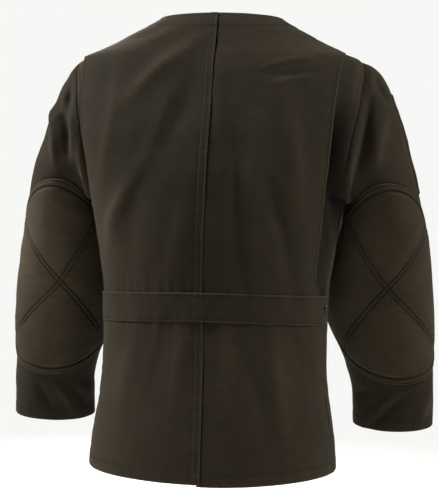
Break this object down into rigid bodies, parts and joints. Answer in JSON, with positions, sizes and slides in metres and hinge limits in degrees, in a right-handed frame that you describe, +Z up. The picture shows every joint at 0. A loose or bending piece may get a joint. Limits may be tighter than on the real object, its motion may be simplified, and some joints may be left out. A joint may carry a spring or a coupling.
{
  "type": "shooting jacket",
  "caption": "Collarless hip-length cotton duck shooting jacket with an action back, a waist belt and quilted elbow pads, in its worn hollow form.",
  "frame": {"origin": "middle of the neck base at the height of the back neck edge, where the wearer's neck and shoulders hold the jacket up", "axes": "+Z up, +Y to the back of the jacket, +X to the wearer's left"},
  "size_m": [0.736, 0.3684, 0.7389],
  "materials": {
    "duck": "heavy cotton duck, dark olive brown, plain weave with a fine crosswise slub, matt",
    "elbow_pad": "quilted cotton duck over thin padding, slightly darker, double topstitched",
    "facing": "dark cotton twill facing inside the back neck",
    "arm_patch": "dark brown brushed leather, matt",
    "button": "dark brown imitation horn, four holes, semi-gloss",
    "stud": "darkened brass press stud"
  },
  "bodies": {
    "root": {"back_left": "duck", "back_right": "duck", "gusset_left": "duck", "gusset_right": "duck", "front_left": "duck", "front_right": "duck", "sleeve_left": "duck", "sleeve_right": "duck", "waist_belt": "duck", "elbow_pad_left": "elbow_pad", "elbow_pad_right": "elbow_pad", "neck_facing": "facing", "arm_patch_right": "arm_patch", "belt_stud_right": "stud", "front_button_1": "button", "front_button_2": "button", "front_button_3": "button", "front_button_4": "button", "front_button_5": "button"}
  },
  "joints": []
}
